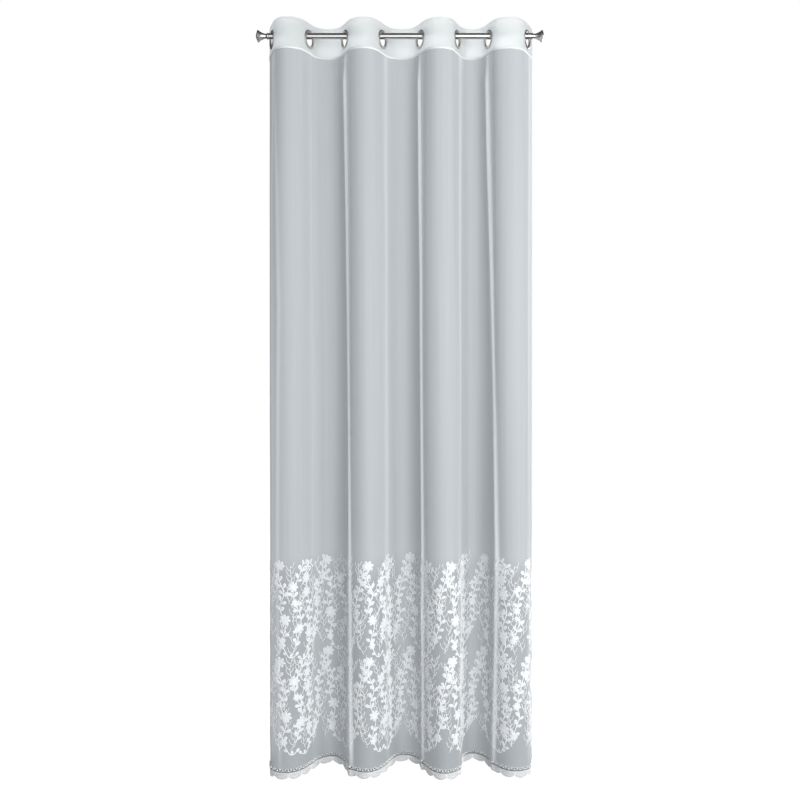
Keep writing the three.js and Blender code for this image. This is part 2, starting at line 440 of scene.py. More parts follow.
def thicken(mesh, front, back):
    """Gives an open flat mesh two faces and a rim. front and back say how far off the cloth each face
    lies in millimetres, as a number or as a function of x and z."""
    with edited(mesh) as shape:
        front_side = list(shape.verts)
        front_faces = list(shape.faces)
        rims = [tuple(edge.verts) for edge in shape.edges if edge.is_boundary]
        copies = {vertex: shape.verts.new(vertex.co) for vertex in front_side}
        for face in front_faces:
            shape.faces.new([copies[vertex] for vertex in reversed(face.verts)])
        for a, b in rims:
            face = next(f for f in a.link_faces if b in f.verts and f in front_faces)
            order = [vertex for vertex in face.verts if vertex in (a, b)]
            if face.verts[0] in order and face.verts[-1] in order and order[0] == face.verts[0]:
                order.reverse()
            first, second = order
            shape.faces.new((second, first, copies[first], copies[second]))
        for vertex in front_side:
            x, _, z = vertex.co / MM
            before, behind = (off(x, z) if callable(off) else off for off in (front, back))
            copies[vertex].co.y = behind * MM
            vertex.co.y = -before * MM
        for face in shape.faces:
            face.smooth = True
    return mesh


def fix_normals(mesh):
    """Turns every face of a closed mesh outwards, once its doubles are merged."""
    with edited(mesh) as shape:
        bmesh.ops.remove_doubles(shape, verts=shape.verts, dist=1e-7)
        bmesh.ops.recalc_face_normals(shape, faces=shape.faces)


def spun(name, profile, segments):
    """A closed surface of revolution about X, from (along, radius) pairs in millimetres that start and
    end on the axis."""
    points, rings = [], []
    for along, radius in profile:
        count = segments if radius > 0 else 1
        rings.append((len(points), count))
        for k in range(count):
            angle = math.tau * k / segments
            points.append((along * MM, radius * math.cos(angle) * MM, radius * math.sin(angle) * MM))
    faces = []
    for (a, na), (b, nb) in zip(rings[:-1], rings[1:]):
        for k in range(segments):
            n = (k + 1) % segments
            corners = dict.fromkeys([a + k % na, a + n % na, b + n % nb, b + k % nb])
            if len(corners) > 2:
                faces.append(tuple(corners))
    return make_mesh(name, points, faces)


def hoop(name, section, segments):
    """A closed ring round y, from its section as a loop of (off, radius) pairs in millimetres."""
    points, faces = [], []
    wide = len(section)
    for k in range(segments):
        n = (k + 1) % segments
        angle = math.tau * k / segments
        for i, (off, radius) in enumerate(section):
            j = (i + 1) % wide
            points.append((radius * math.cos(angle) * MM, off * MM, radius * math.sin(angle) * MM))
            faces.append((k * wide + i, n * wide + i, n * wide + j, k * wide + j))
    mesh = make_mesh(name, points, faces)
    fix_normals(mesh)
    return mesh


# Node trees

def srgb(code):
    """A hex colour as linear RGBA."""
    values = [int(code[i : i + 2], 16) / 255 for i in (1, 3, 5)]
    return [v / 12.92 if v <= 0.04045 else ((v + 0.055) / 1.055) ** 2.4 for v in values] + [1]


def add_node(tree, kind, inputs=None, **settings):
    """Adds a node, sets its properties, and sets or links its inputs. A node given as an input
    stands for its first output."""
    node = tree.nodes.new(kind)
    for name, value in settings.items():
        setattr(node, name, value)
    for key, value in (inputs or {}).items():
        if isinstance(value, bpy.types.Node):
            value = value.outputs[0]
        if isinstance(value, bpy.types.NodeSocket):
            tree.links.new(value, node.inputs[key])
        else:
            node.inputs[key].default_value = value
    return node


def start_tree(name, **sockets):
    tree = bpy.data.node_groups.new(name, "GeometryNodeTree")
    for label, kind in sockets.items():
        tree.interface.new_socket(name=label, in_out="INPUT", socket_type="NodeSocket" + kind)
    tree.interface.new_socket(name="Geometry", in_out="OUTPUT", socket_type="NodeSocketGeometry")
    return tree, add_node(tree, "NodeGroupInput").outputs


def end_tree(tree, geometry, material):
    realized = add_node(tree, "GeometryNodeRealizeInstances", {"Geometry": geometry})
    finished = add_node(tree, "GeometryNodeSetMaterial", {"Geometry": realized, "Material": material})
    add_node(tree, "NodeGroupOutput", {"Geometry": finished})
    return tree


def motif_tree():
    """Sets a motif on each point, turned in the cloth's plane and sized by the point's own values."""
    tree, inside = start_tree("motifs on points", Points="Geometry", Motif="Object", Material="Material")
    motif = add_node(tree, "GeometryNodeObjectInfo", {"Object": inside["Motif"], "As Instance": True})
    turn, size = (
        add_node(tree, "GeometryNodeInputNamedAttribute", {"Name": name}, data_type="FLOAT")
        for name in ("turn", "size")
    )
    rotation = add_node(tree, "ShaderNodeCombineXYZ", {"Y": turn.outputs["Attribute"]})
    placed = add_node(
        tree,
        "GeometryNodeInstanceOnPoints",
        {
            "Points": inside["Points"],
            "Instance": motif.outputs["Geometry"],
            "Rotation": rotation,
            "Scale": size.outputs["Attribute"],
        },
    )
    return end_tree(tree, placed, inside["Material"])


def stitch_tree():
    """Sets a motif at even steps along each path, in line with it."""
    tree, inside = start_tree(
        "stitches along a path", Path="Geometry", Pitch="Float", Motif="Object", Material="Material"
    )
    spots = add_node(
        tree, "GeometryNodeResampleCurve", {"Curve": inside["Path"], "Length": inside["Pitch"]}, mode="LENGTH"
    )
    motif = add_node(tree, "GeometryNodeObjectInfo", {"Object": inside["Motif"], "As Instance": True})
    tangent = add_node(tree, "GeometryNodeInputTangent")
    along = add_node(tree, "ShaderNodeSeparateXYZ", {"Vector": tangent}).outputs
    down = add_node(tree, "ShaderNodeMath", {0: along["Z"], 1: -1.0}, operation="MULTIPLY")
    angle = add_node(tree, "ShaderNodeMath", {0: down, 1: along["X"]}, operation="ARCTAN2")
    rotation = add_node(tree, "ShaderNodeCombineXYZ", {"Y": angle})
    placed = add_node(
        tree,
        "GeometryNodeInstanceOnPoints",
        {"Points": spots, "Instance": motif.outputs["Geometry"], "Rotation": rotation},
    )
    return end_tree(tree, placed, inside["Material"])


def thread_tree():
    """Lays a round thread along each path."""
    tree, inside = start_tree(
        "threads along paths",
        Paths="Geometry",
        Spacing="Float",
        Thickness="Float",
        Sides="Int",
        Material="Material",
    )
    route = add_node(
        tree,
        "GeometryNodeResampleCurve",
        {"Curve": inside["Paths"], "Length": inside["Spacing"]},
        mode="LENGTH",
    )
    radius = add_node(tree, "ShaderNodeMath", {0: inside["Thickness"], 1: 0.5}, operation="MULTIPLY")
    ring = add_node(
        tree, "GeometryNodeCurvePrimitiveCircle", {"Resolution": inside["Sides"], "Radius": radius}
    )
    tube = add_node(
        tree, "GeometryNodeCurveToMesh", {"Curve": route, "Profile Curve": ring, "Fill Caps": True}
    )
    smooth = add_node(tree, "GeometryNodeSetShadeSmooth", {"Geometry": tube})
    return end_tree(tree, smooth, inside["Material"])


def grown(source, tree, **values):
    """The plain mesh that a tree makes from a source object, which is then removed."""
    modifier = source.modifiers.new("grow", "NODES")
    modifier.node_group = tree
    for item in tree.interface.items_tree:
        if item.in_out == "INPUT" and item.name in values:
            modifier[item.identifier] = values[item.name]
    view = bpy.context.evaluated_depsgraph_get()
    mesh = bpy.data.meshes.new_from_object(source.evaluated_get(view), depsgraph=view)
    bpy.data.objects.remove(source)
    return mesh


def point_source(rows):
    """An object of loose points from rows of x, off, z in millimetres, turn in radians and size."""
    mesh = bpy.data.meshes.new("points")
    mesh.from_pydata([(x * MM, off * MM, z * MM) for x, off, z, _, _ in rows], [], [])
    add_values(mesh, "turn", [row[3] for row in rows])
    add_values(mesh, "size", [row[4] for row in rows])
    return add_piece("points", mesh)


def path_source(paths):
    """An object of poly curves from lists of (x, off, z) in millimetres."""
    curve = bpy.data.curves.new("paths", "CURVE")
    curve.dimensions = "3D"
    for path in paths:
        spline = curve.splines.new("POLY")
        spline.points.add(len(path) - 1)
        spline.points.foreach_set("co", [v for x, off, z in path for v in (x * MM, off * MM, z * MM, 1)])
    return add_object("paths", curve)


MOTIFS = motif_tree()
STITCHES = stitch_tree()
THREADS = thread_tree()


def set_out(name, source, tree, motif, material, **sizes):
    """Repeats a motif over the flat cloth by one of the trees, and hangs it all as one piece."""
    mesh = grown(source, tree, Motif=motif, Material=material, **sizes)
    bpy.data.objects.remove(motif)
    return hang_piece(name, mesh)


def lay_threads(name, paths, material, spacing, thickness, sides, flatness=1.0):
    """Threads along paths on the flat cloth, pressed flat on it and hung with it."""
    margin = 0.4
    mesh = grown(
        path_source([path for path in paths if all(margin < x < FLAT_WIDTH - margin for x, _, _ in path)]),
        THREADS,
        Spacing=spacing * MM,
        Thickness=thickness * MM,
        Sides=sides,
        Material=material,
    )
    flat = points_of(mesh)
    flat[:, 1] *= flatness
    mesh.vertices.foreach_set("co", flat.ravel())
    return hang_piece(name, mesh)


# Materials

# A Mix node's sockets for colour, by number, since its names repeat
COLOUR_A = 6
COLOUR_B = 7
MIXED_COLOUR = 2


def start_material(name, slot_colour):
    material = bpy.data.materials.new(name)
    material.use_nodes = True
    material.diffuse_color = srgb(slot_colour)
    material.node_tree.nodes.clear()
    return material, material.node_tree


def start_cloth(name, slot_colour):
    """A material with its place on the flat cloth in metres, for patterns that follow the folds."""
    material, tree = start_material(name, slot_colour)
    return material, tree, add_node(tree, "ShaderNodeUVMap", uv_map="cloth")


def weave(tree, place, pitch_mm):
    """Crossing threads as a height from 0 to 1: warp and weft ribs at a real pitch."""
    # a wave texture has one band in tau / 20 of its scaled length
    scale = math.tau / 20 / (pitch_mm * MM)
    warp, weft = (
        add_node(
            tree,
            "ShaderNodeTexWave",
            {"Vector": place, "Scale": scale, "Distortion": 0.0},
            wave_type="BANDS",
            bands_direction=direction,
        ).outputs["Fac"]
        for direction in ("X", "Y")
    )
    return add_node(tree, "ShaderNodeMath", {0: warp, 1: weft}, operation="MAXIMUM")


def slubs(tree, place, across, down):
    """Faint thicker and thinner threads: noise drawn out along the cloth, in cycles a metre."""
    stretched = add_node(tree, "ShaderNodeMapping", {"Vector": place, "Scale": (across, down, 1)})
    return add_node(
        tree,
        "ShaderNodeTexNoise",
        {"Vector": stretched, "Scale": 1.0, "Detail": 3.0, "Roughness": 0.6},
        noise_dimensions="2D",
    ).outputs["Fac"]


def raised_face(tree, colour, pattern, relief, depth, looks):
    """A surface whose pattern stands out by a depth in millimetres, with its colour and other looks."""
    bump = add_node(tree, "ShaderNodeBump", {"Strength": relief, "Distance": depth * MM, "Height": pattern})
    return add_node(tree, "ShaderNodeBsdfPrincipled", {"Base Color": colour, "Normal": bump, **looks})


def voile_material():
    """Polyester voile, a plain weave of fine high-twist yarn: cool white, half sheer, with a dry sheen.
    The threads are drawn at 0.8 mm, about twice their real pitch, so that they show close up."""
    material, tree, place = start_cloth("voile_plain_weave", "#c8ccd0")
    threads = weave(tree, place, 0.8)
    streaks = slubs(tree, place, 90, 1.3)
    height = add_node(tree, "ShaderNodeSeparateXYZ", {"Vector": place}).outputs["Y"]
    # the embroidered band is drawn greyer, from none above it to all below
    low, high = GREYER_BAND_HEIGHTS
    drawn = add_node(
        tree,
        "ShaderNodeMapRange",
        {"Value": height, "From Min": low * MM, "From Max": high * MM, "To Min": 1.0, "To Max": 0.0},
    )
    pressed = add_node(tree, "ShaderNodeAttribute", attribute_name="pressed").outputs["Fac"]
    # plain cloth, its slubs, a greyer ground across the embroidered band, and the pleats' whitening, partly
    # doubled cloth and partly painted highlight
    # the plain cloth's grey is painted shade: the white voile is drawn as dim as it looks in the soft studio
    # light
    colour = srgb("#adb2b6")
    for share, over in ((streaks, "#b8bdc1"), (drawn, "#9da3a7"), (pressed, "#eceff1")):
        shade = add_node(
            tree, "ShaderNodeMix", {"Factor": share, COLOUR_A: colour, COLOUR_B: srgb(over)}, data_type="RGBA"
        )
        colour = shade.outputs[MIXED_COLOUR]
    looks = {"Roughness": 0.8, "Sheen Weight": 1.0, "Sheen Roughness": 0.3, "Specular IOR Level": 0.25}
    face = raised_face(tree, colour, threads, relief=0.25, depth=0.2, looks=looks)
    through = add_node(tree, "ShaderNodeBsdfTranslucent", {"Color": srgb("#b4b9bd")})
    body = add_node(tree, "ShaderNodeMixShader", {0: 0.16, 1: face, 2: through})
    gaps = add_node(tree, "ShaderNodeMapRange", {"Value": threads, "To Min": 0.18, "To Max": 0.06})
    clear = add_node(tree, "ShaderNodeBsdfTransparent")
    sheer = add_node(tree, "ShaderNodeMixShader", {0: gaps, 1: body, 2: clear})
    add_node(tree, "ShaderNodeOutputMaterial", {"Surface": sheer})
    return material


def opaque_cloth(name, shades, pitch, roughness, sheen, relief, through):
    """A closely woven cloth or twisted thread: two near shades, ribs at a pitch in millimetres, a soft
    sheen, and a share of the light let through."""
    material, tree, place = start_cloth(name, shades[0])
    dark, light = (srgb(shade) for shade in shades)
    shade = add_node(
        tree,
        "ShaderNodeMix",
        {"Factor": slubs(tree, place, 60, 8), COLOUR_A: dark, COLOUR_B: light},
        data_type="RGBA",
    )
    looks = {"Roughness": roughness, "Sheen Weight": sheen, "Specular IOR Level": 0.25}
    threads = weave(tree, place, pitch)
    face = raised_face(tree, shade.outputs[MIXED_COLOUR], threads, relief, depth=0.3, looks=looks)
    glow = add_node(tree, "ShaderNodeBsdfTranslucent", {"Color": light})
    body = add_node(tree, "ShaderNodeMixShader", {0: through, 1: face, 2: glow})
    add_node(tree, "ShaderNodeOutputMaterial", {"Surface": body})
    return material


def satin_stitch_material():
    """Rayon embroidery thread in padded satin stitch: white and silky where the padding is high, and
    greyer at the rim and along the slit, as painted shade in the low grooves of the padding."""
    material, tree, place = start_cloth("satin_stitch_thread", "#eef1f3")
    padding = add_node(tree, "ShaderNodeAttribute", attribute_name="padding").outputs["Fac"]
    shade = add_node(
        tree,
        "ShaderNodeMix",
        {"Factor": padding, COLOUR_A: srgb("#c8cdd3"), COLOUR_B: srgb("#f4f7fb")},
        data_type="RGBA",
    )
    looks = {"Roughness": 0.55, "Sheen Weight": 1.0, "Sheen Roughness": 0.5, "Specular IOR Level": 0.4}
    threads = weave(tree, place, 1.2)
    face = raised_face(tree, shade.outputs[MIXED_COLOUR], threads, relief=0.4, depth=0.3, looks=looks)
    add_node(tree, "ShaderNodeOutputMaterial", {"Surface": face})
    return material


def lace_net_material():
    """Knitted cotton net between the lace's cords: a ground of small round holes 1.6 mm apart."""
    material, tree, place = start_cloth("cotton_lace_net", "#d6d6d4")
    in_mm = add_node(tree, "ShaderNodeMapping", {"Vector": place, "Scale": (1 / MM, 1 / MM, 1)})
    holes = add_node(
        tree,
        "ShaderNodeTexVoronoi",
        {"Vector": in_mm, "Scale": 0.62, "Randomness": 0.35},
        voronoi_dimensions="2D",
        feature="F1",
    ).outputs["Distance"]
    open_share = add_node(
        tree,
        "ShaderNodeMapRange",
        {"Value": holes, "From Min": 0.3, "From Max": 0.42, "To Min": 0.55, "To Max": 0.0},
    )
    thread = add_node(
        tree,
        "ShaderNodeBsdfPrincipled",
        {"Base Color": srgb("#dcdfe0"), "Roughness": 0.9, "Specular IOR Level": 0.2},
    )
    clear = add_node(tree, "ShaderNodeBsdfTransparent")
    net = add_node(tree, "ShaderNodeMixShader", {0: open_share, 1: thread, 2: clear})
    add_node(tree, "ShaderNodeOutputMaterial", {"Surface": net})
    return material


def nickel_material(name, smoothest, roughest):
    """Nickel plate on steel: a bright grey mirror, softened by a fine turned grain. The grain runs
    round the rod, 0.4 mm wide and 11 mm long."""
    material, tree = start_material(name, "#b9b8b5")
    place = add_node(tree, "ShaderNodeTexCoord").outputs["Object"]
    stretched = add_node(tree, "ShaderNodeMapping", {"Vector": place, "Scale": (2500, 90, 90)})
    grain = add_node(
        tree, "ShaderNodeTexNoise", {"Vector": stretched, "Scale": 1.0, "Detail": 2.0}
    ).outputs["Fac"]
    rough = add_node(tree, "ShaderNodeMapRange", {"Value": grain, "To Min": smoothest, "To Max": roughest})
    looks = {"Metallic": 1.0, "Roughness": rough}
    face = raised_face(tree, srgb("#d0cecb"), grain, relief=0.04, depth=0.1, looks=looks)
    add_node(tree, "ShaderNodeOutputMaterial", {"Surface": face})
    return material


VOILE = voile_material()
# The ribs of these cloths and threads are drawn two or three times as coarse as real ones, so that
# they show close up.
# Stiffened heading cloth: opaque white, closely woven
HEADING = opaque_cloth(
    "heading_band_cloth", ("#eef1f1", "#f6f8f8"),
    pitch=0.8, roughness=0.75, sheen=0.15, relief=0.2, through=0.7,
)
# Side and lower hems: voile over voile, stitched down
HEM = opaque_cloth(
    "turned_hem_voile", ("#eceff1", "#f4f6f7"), pitch=0.8, roughness=0.8, sheen=0.2, relief=0.2, through=0.4
)
# The heading's lower edge, folded up double and stitched, which lets little light through
FOLDED_EDGE = opaque_cloth(
    "folded_heading_edge", ("#ebeeee", "#f2f4f4"),
    pitch=0.8, roughness=0.75, sheen=0.3, relief=0.2, through=0.1,
)
SATIN_STITCH = satin_stitch_material()
# The same rayon thread in stem stitch
STEM_STITCH = opaque_cloth(
    "stem_stitch_thread", ("#f4f6f7", "#fcfdfd"),
    pitch=1.2, roughness=0.6, sheen=1.0, relief=0.4, through=0.04,
)
# Polyester sewing thread
SEWING = opaque_cloth(
    "sewing_thread", ("#e4e8ea", "#f2f4f5"), pitch=0.6, roughness=0.6, sheen=0.2, relief=0.3, through=0.15
)
# Plied cotton cord of the lace
LACE_CORD = opaque_cloth(
    "plied_cotton_cord", ("#f2f3f3", "#fafbfb"), pitch=0.9, roughness=0.9, sheen=0.3, relief=0.3, through=0.2
)
# The whitest thread of the lace, in its knots and crossings
KNOT_THREAD = opaque_cloth(
    "white_knot_thread", ("#fdfefe", "#ffffff"), pitch=0.9, roughness=0.7, sheen=0.6, relief=0.3, through=0.1
)
# The narrow tape under the plait, dark grey as painted shade in the gaps between its cords
SHADE_TAPE = opaque_cloth(
    "backing_tape_painted_shade", ("#6c7276", "#788084"),
    pitch=1.0, roughness=0.9, sheen=0.1, relief=0.3, through=0.15,
)
LACE_NET = lace_net_material()
# Satin nickel plate of the rod and its finials, and the duller plate of the pressed eyelets
NICKEL = nickel_material("satin_nickel_plate", smoothest=0.2, roughest=0.32)
DULL_NICKEL = nickel_material("dull_nickel_plate", smoothest=0.34, roughest=0.46)


# The cloth

def voile_columns():
    """Steps across the cloth: 4.2 mm, and 1.6 mm where a pleat lies."""
    plain, fine, least = 4.2, 1.6, 2.5
    marks = [0]
    while marks[-1] < FLAT_WIDTH - least:
        pleated = any(low < marks[-1] < high for low, high in PLEATED_STRIPS)
        marks.append(marks[-1] + (fine if pleated else plain))
    return marks[:-1] + [FLAT_WIDTH]


def pleat_whitening_and_painted_light(flat):
    """How much whiter each point is drawn beside a pleat's right side: partly doubled cloth, partly painted
    highlight.
    """
    low_fade_depth = 110
    least_at_hem = 0.25
    across, _, height = (flat / MM).T
    share = np.zeros(len(flat))
    low_fade = np.clip((height - CURTAIN_BOTTOM) / low_fade_depth, least_at_hem, 1)
    for row, _, _, right, doubled_and_painted_light in PLEATS:
        beside = past_pleat(row, across, height)
        share += doubled_and_painted_light * low_fade * np.exp(-(((beside - right * 0.6) / right) ** 2))
    high, low = PALE_HEIGHTS
    top_fade = np.clip((height - low) / (high - low), 0, 1)
    for centre, reach in PALE_TOPS:
        share += PALE_SHARE * top_fade * np.exp(-(((across - centre) / reach) ** 2))
    return share.astype(np.float32)


def make_voile():
    """The voile panel, one thin sheet behind the heading's edge and behind the braid."""
    mesh = flat_grid(voile_columns(), steps(HEADING_BOTTOM, VOILE_BOTTOM, 185))
    # how much whiter the pleats are drawn: doubled cloth and painted highlight
    add_values(mesh, "pressed", pleat_whitening_and_painted_light(points_of(mesh)))
    return hang_piece("voile_panel", mesh, VOILE)


def make_side_hem(name, left, right):
    """The panel's side edge, turned to the back: one more layer of cloth behind it."""
    mesh = flat_grid(steps(left, right, 6), steps(HEADING_BOTTOM, VOILE_BOTTOM, 170))
    return hang_piece(name, thicken(mesh, front=-0.25, back=0.7), HEM)


def make_lower_hem():
    """The panel's lower edge, turned up to the back behind the tape."""
    past_tape = 0.2
    mesh = flat_grid(steps(0, FLAT_WIDTH, 480), steps(TAPE_TOP + past_tape, TAPE_BOTTOM - past_tape, 4))
    return hang_piece("lower_hem", thicken(mesh, front=-0.85, back=1.3), HEM)


def punch_eyelets(mesh, radius):
    """Opens a round hole at each eyelet: faces inside it go, and its edge is drawn to the circle."""
    near_hole = 1.3
    centres = [Vector((across * MM, 0, RING_CENTRE_Z * MM)) for *_, across in EYELETS]
    reach = radius * MM
    with edited(mesh) as shape:
        gone = [f for f in shape.faces if any((f.calc_center_median() - c).length < reach for c in centres)]
        bmesh.ops.delete(shape, geom=gone, context="FACES")
        for vertex in shape.verts:
            for centre in centres:
                away = vertex.co - centre
                if vertex.is_boundary and away.length < reach * near_hole:
                    vertex.co = centre + away * (reach / away.length)


def make_heading():
    """The opaque heading band, with a round hole at each eyelet."""
    wider_than_bore = 3
    half = HEADING_THICKNESS / 2
    mesh = flat_grid(steps(0, FLAT_WIDTH, 560), steps(HEADING_TOP, HEADING_BOTTOM, 42))
    punch_eyelets(mesh, RING_INNER_DIAMETER / 2 + wider_than_bore)

    def front(x, z):
        from_edge = min(z - HEADING_BOTTOM, HEADING_TOP - z)
        return half * min(1, math.sqrt(max(0.02, from_edge / 2)))

    return hang_piece("heading_band", thicken(mesh, front, half), HEADING)


def make_heading_fold():
    """The heading's lower edge, folded up over its front in a rounded band."""
    half = HEADING_THICKNESS / 2
    swell = 1.1
    rows = [HEADING_BOTTOM + FOLDED_EDGE_DEPTH * share for share in (1, 0.93, 0.75, 0.5, 0.25, 0.07, -0.05)]

    def front(x, z):
        share = (z - HEADING_BOTTOM) / FOLDED_EDGE_DEPTH
        return half + swell * math.sqrt(max(0, 1 - (2 * share - 1) ** 2))

    mesh = thicken(flat_grid(steps(0, FLAT_WIDTH, 400), rows), front, 0.2 - half)
    return hang_piece("heading_fold", mesh, FOLDED_EDGE)


def make_stitching():
    """Lines of run stitches: two along the heading and one up each side hem. A stitch is a short
    thread that dips at both ends."""
    length, radius = 3.0, 0.45
    profile = [(-0.5, 0.0), (-0.35, 0.9), (0.0, 1.0), (0.35, 0.9), (0.5, 0.0)]
    stitch = spun("stitch", [(along * length, share * radius) for along, share in profile], 6)
    inset = 2
    ends = (inset, FLAT_WIDTH - inset)
    paths = [
        [(x, -1.3, HEADING_BOTTOM + 8.8) for x in ends],
        [(x, -1.15, HEADING_TOP - 6) for x in ends],
    ]
    for x in (SIDE_HEM - inset, FLAT_WIDTH - SIDE_HEM + inset):
        paths.append([(x, -0.35, z) for z in (HEADING_BOTTOM - inset, LACE_TOP + inset)])
    template = add_piece("stitch_template", stitch)
    pitch = STITCH_PITCH * MM
    return set_out("run_stitching", path_source(paths), STITCHES, template, SEWING, Pitch=pitch)


# The embroidery

def outline_leaf(length, width, count, fullness):
    """A rounded leaf's outline along x from its stalk at the origin. Under 1, its tip is fuller."""
    points = []
    for k in range(count):
        angle = -math.tau * k / count
        along = ((1 - math.cos(angle)) / 2) ** fullness
        points.append((along * length, math.sin(angle) * width / 2))
    return points


def padded_shape(outline, height, slit):
    """A raised closed shape from an outline in the cloth's plane, in millimetres. Its padding is
    highest in a ring and lowest along a slit on its midline, and its flat back shows behind the voile."""
    count = len(outline)
    middle = sum(x for x, _ in outline) / count
    # the outline's share in length and in width, and how far off the cloth it lies
    back = (1, 1, 0.75)
    rim = (1, 1, -0.25)
    ring = (0.84, 0.8, -height)
    levels = (back, rim, ring, (slit, 0.08, -height * 0.5))
    points = []
    for along, across, off in levels:
        for x, z in outline:
            points.append(((middle + (x - middle) * along) * MM, off * MM, z * across * MM))
    faces = [tuple(range(count))]
    for level in range(len(levels) - 1):
        for k in range(count):
            a, b = level * count + k, level * count + (k + 1) % count
            faces.append((b, a, a + count, b + count))
    faces.append(tuple(len(points) - 1 - k for k in range(count)))
    return points, faces


def joined(shapes):
    """Points and faces of several shapes as one."""
    points, faces = [], []
    for more_points, more_faces in shapes:
        start = len(points)
        points += more_points
        faces += [tuple(i + start for i in face) for face in more_faces]
    return points, faces


def padded_motif(name, points, faces, count):
    """A motif of padded shapes with this many points a level. Its back and its rim are sharp edges, so
    that the padding is shaded by itself."""
    mesh = make_mesh(name, points, faces)
    levels = len(PADDING_SHADE_SHARES)
    # greyer rims and slits are painted shade in the padding's grooves
    add_values(mesh, "padding", [PADDING_SHADE_SHARES[k // count % levels] for k in range(len(points))])
    fix_normals(mesh)
    with edited(mesh) as shape:
        for edge in shape.edges:
            start, end = (vertex.co.y for vertex in edge.verts)
            level_edge = abs(start - end) < 1e-7
            edge.smooth = not (level_edge and start > -0.4 * MM)
    return add_piece(name + "_template", mesh)


def leaf_motif():
    outline = outline_leaf(length=17.5, width=12.0, count=10, fullness=0.85)
    return padded_motif("leaf", *padded_shape(outline, height=1.0, slit=0.4), len(outline))


def flower_motif(name, petals, length, width, button, height):
    """Padded petals about a small button."""
    count = 8
    turns = [math.tau * k / count for k in range(count)]
    outline = outline_leaf(length, width, count, fullness=0.65)
    shapes = []
    for k in range(petals):
        angle = math.tau * k / petals
        points, faces = padded_shape(outline, height, slit=0.3)
        c, s = math.cos(angle), math.sin(angle)
        shapes.append(([(x * c - z * s, off, x * s + z * c) for x, off, z in points], faces))
    middle = [(button * math.cos(turn), -button * math.sin(turn)) for turn in turns]
    shapes.append(padded_shape(middle, height * 1.6, slit=0.2))
    return padded_motif(name, *joined(shapes), count)


def rosette_motif():
    """A small open ring of stitches."""
    radius, thick, sides = 5.6, 2.1, 5
    turns = [math.tau * k / sides for k in range(sides)]
    section = [(-0.5 * thick * math.sin(turn), radius + thick * math.cos(turn)) for turn in turns]
    mesh = hoop("rosette", section, 14)
    add_values(mesh, "padding", [1.0] * len(mesh.vertices))
    return add_piece("rosette_template", mesh)


def thread_over(points, off=-0.5):
    """A thread's route on the flat cloth from its x and z, a little in front of it."""
    return [(x, off, z) for x, z in points]


class Sprig:
    """One sprig's stem, set in its place on the flat cloth."""

    def __init__(self, kind, across, foot):
        self.kind = kind
        self.foot = foot
        self.bottom, self.top = kind["stem"][0][1], kind["stem"][-1][1]
        self.line = [(across + x, foot + z) for x, z in smooth_line(kind["stem"], 8)]

    def at(self, height):
        """The stem's x and z at a height over its foot, and its direction in radians."""
        reach = 2
        xs, zs = zip(*self.line)
        z = min(max(self.foot + height, zs[0] + 0.1), zs[-1] - 0.1)
        behind, x, ahead = np.interp([z - reach, z, z + reach], zs, xs)
        return float(x), z, math.atan2(2 * reach, ahead - behind)


def add_leaf(out, x, z, angle, size):
    out["leaves"].append((x, 0, z, -angle, size))


def add_leaf_pairs(sprig, chance, out):
    """Pairs of leaves on short stalks up the stem, but none where a flower sits."""
    pair_middle = 6
    height = sprig.bottom + 12
    while height < sprig.top - pair_middle:
        clear = all(
            abs(height + pair_middle - flower) > room
            for name, room in (("flowers", 20), ("small_flowers", 13))
            for flower in sprig.kind[name]
        )
        for side in (1, -1) if clear else ():
            x, z, angle = sprig.at(height + side * 2.5 + chance.uniform(-2, 2))
            lean = angle + side * chance.uniform(0.65, 1.0)
            stalk = chance.uniform(4.8, 6.6)
            c, s = math.cos(lean), math.sin(lean)
            leaf_start = stalk - 1.5
            add_leaf(out, x + leaf_start * c, z + leaf_start * s, lean, chance.uniform(0.86, 1.06))
            out["stems"].append(thread_over([(x, z), (x + stalk * c, z + stalk * s)]))
        height += chance.uniform(24.5, 27.5)


def add_side_twig(sprig, height, side, chance, out):
    """A short branch with three leaves."""
    x, z, angle = sprig.at(height)
    lean = angle + side * 0.8
    knots = [(x, z)]
    for reach, turn in ((11, lean), (22, lean - side * 0.25)):
        knots.append((x + reach * math.cos(turn), z + reach * math.sin(turn)))
    out["stems"].append(thread_over(smooth_line(knots, 4)))
    for turn in (0.0, 1.05, -1.05):
        add_leaf(out, *knots[-1], lean - side * 0.3 + turn, chance.uniform(0.72, 0.85))


def add_curled_tip(sprig, out):
    """The stem's tip bends over to the right in a hook round a small open rosette."""
    radius = 13
    x, z, _ = sprig.at(sprig.top)
    centre = x + radius
    turns = steps(math.pi, math.pi * 0.1, 12)
    hook = [(centre + radius * math.cos(turn), z + radius * math.sin(turn)) for turn in turns]
    out["stems"].append(thread_over(hook))
    out["rosettes"].append((centre + 1.5, -0.3, z - 4, 0.0, 1.0))
    for step, turn, size in ((4, -0.1, 0.85), (8, -0.7, 0.85), (12, -2.2, 0.7)):
        add_leaf(out, *hook[step], math.pi / 2 + turn, size)


def add_hooked_foot(sprig, side, chance, out):
    """The stem's foot turns sideways, with leaves standing on it."""
    x, z, _ = sprig.at(sprig.bottom)
    knots = [(x - side * away, z - drop) for away, drop in ((0, 0), (5, 9), (16, 12), (27, 6))]
    foot = smooth_line(knots, 5)
    out["stems"].append(thread_over(foot))
    for place, turn, size in (
        (foot[8], 0.3, 0.8),
        (foot[-1], 0.9, chance.uniform(0.8, 0.95)),
        (foot[0], -1.2, 0.8),
    ):
        add_leaf(out, *place, math.pi / 2 + side * turn, size)


